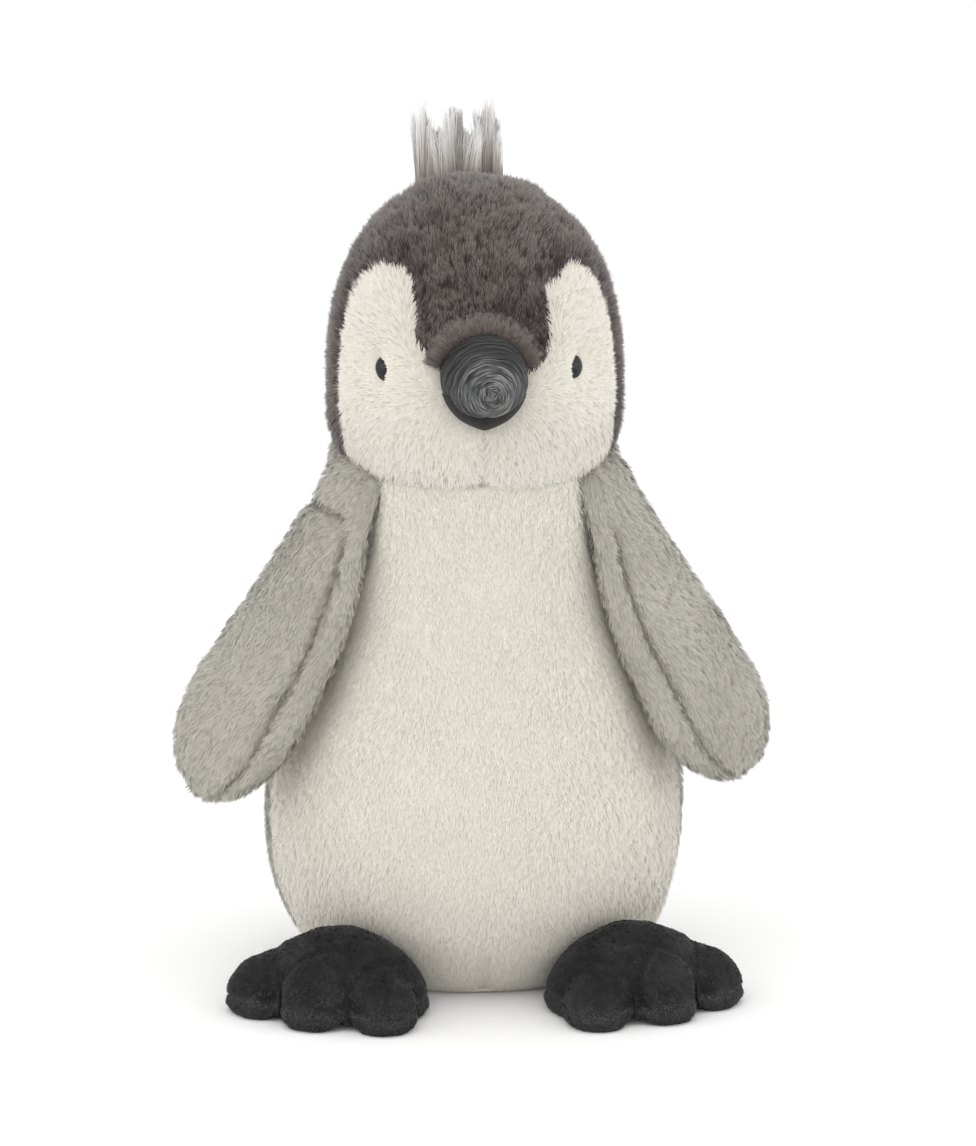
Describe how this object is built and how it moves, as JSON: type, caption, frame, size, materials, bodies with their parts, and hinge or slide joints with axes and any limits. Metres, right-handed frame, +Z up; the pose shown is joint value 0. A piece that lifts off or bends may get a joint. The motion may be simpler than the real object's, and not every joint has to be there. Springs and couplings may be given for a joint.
{
  "type": "plush penguin",
  "caption": "Standing stuffed penguin chick with a weighted base, white face and belly, dark crown with a crest of long pile, soft beak, hanging flippers and three-toed feet.",
  "frame": {"origin": "under the middle of the whole toy, on the surface that it stands on", "axes": "+Z up, the face looks along -Y, the toy's own left side is at +X"},
  "size_m": [0.2378, 0.1908, 0.358],
  "materials": {
    "cream_plush": "matte",
    "grey_plush": "matte",
    "crown_plush": "matte",
    "crest_pile": "matte",
    "beak_suede": "matte",
    "charcoal_suede": "matte",
    "eye_plastic": "gloss",
    "washer_nylon": "matte",
    "fibre_fill": "matte",
    "lining_cloth": "matte",
    "black_thread": "matte",
    "satin_ribbon": "satin"
  },
  "bodies": {
    "torso": {"base_panel": "cream_plush", "pellet_pouch": "lining_cloth", "body_stuffing": "fibre_fill", "belly_panel": "cream_plush", "care_label": "satin_ribbon", "back_panel_left": "grey_plush", "back_panel_right": "grey_plush"},
    "neck": {"neck_stuffing": "fibre_fill"},
    "head": {"head_stuffing": "fibre_fill", "crown_gusset": "crown_plush", "brow_fold": "crown_plush", "beak_upper": "beak_suede", "beak_lower": "charcoal_suede", "beak_stuffing": "fibre_fill", "crest": "crest_pile", "face_panel_left": "cream_plush", "face_panel_right": "cream_plush", "head_side_panel_left": "crown_plush", "head_side_panel_right": "crown_plush", "eye_left": "eye_plastic", "eye_right": "eye_plastic", "eye_washer_left": "washer_nylon", "eye_washer_right": "washer_nylon"},
    "flipper_left": {"flipper_outer_panel_left": "grey_plush", "flipper_inner_panel_left": "grey_plush", "flipper_stuffing_left": "fibre_fill"},
    "flipper_right": {"flipper_outer_panel_right": "grey_plush", "flipper_inner_panel_right": "grey_plush", "flipper_stuffing_right": "fibre_fill"},
    "foot_left": {"foot_sole_left": "charcoal_suede", "foot_upper_left": "charcoal_suede", "foot_stuffing_left": "fibre_fill", "toe_stitch_inner_left": "black_thread", "toe_stitch_outer_left": "black_thread"},
    "foot_right": {"foot_sole_right": "charcoal_suede", "foot_upper_right": "charcoal_suede", "foot_stuffing_right": "fibre_fill", "toe_stitch_inner_right": "black_thread", "toe_stitch_outer_right": "black_thread"}
  },
  "joints": [
    {"name": "neck_turn", "type": "hinge", "parent": "torso", "child": "neck", "pos_m": [0, 0.01169, 0.22], "axis": [0, -0.2419, 0.9703], "range_deg": [-30, 30], "stiffness_Nm_per_rad": 0.15},
    {"name": "head_nod", "type": "hinge", "parent": "neck", "child": "head", "pos_m": [0, 0.01169, 0.22], "axis": [1, 0, 0], "range_deg": [-8, 8], "stiffness_Nm_per_rad": 0.6},
    {"name": "flipper_lift_left", "type": "hinge", "parent": "torso", "child": "flipper_left", "pos_m": [0.0535, -0.01231, 0.209], "axis": [-0.4831, -0.8756, 0], "range_deg": [0, 75]},
    {"name": "flipper_lift_right", "type": "hinge", "parent": "torso", "child": "flipper_right", "pos_m": [-0.0535, -0.01231, 0.209], "axis": [-0.4831, 0.8756, 0], "range_deg": [0, 75]},
    {"name": "foot_flex_left", "type": "hinge", "parent": "torso", "child": "foot_left", "pos_m": [0.0392, -0.02891, 0.004], "axis": [-0.8829, -0.4695, 0], "range_deg": [-18, 5], "stiffness_Nm_per_rad": 0.05},
    {"name": "foot_flex_right", "type": "hinge", "parent": "torso", "child": "foot_right", "pos_m": [-0.0392, -0.02891, 0.004], "axis": [-0.8829, 0.4695, 0], "range_deg": [-18, 5], "stiffness_Nm_per_rad": 0.05}
  ]
}
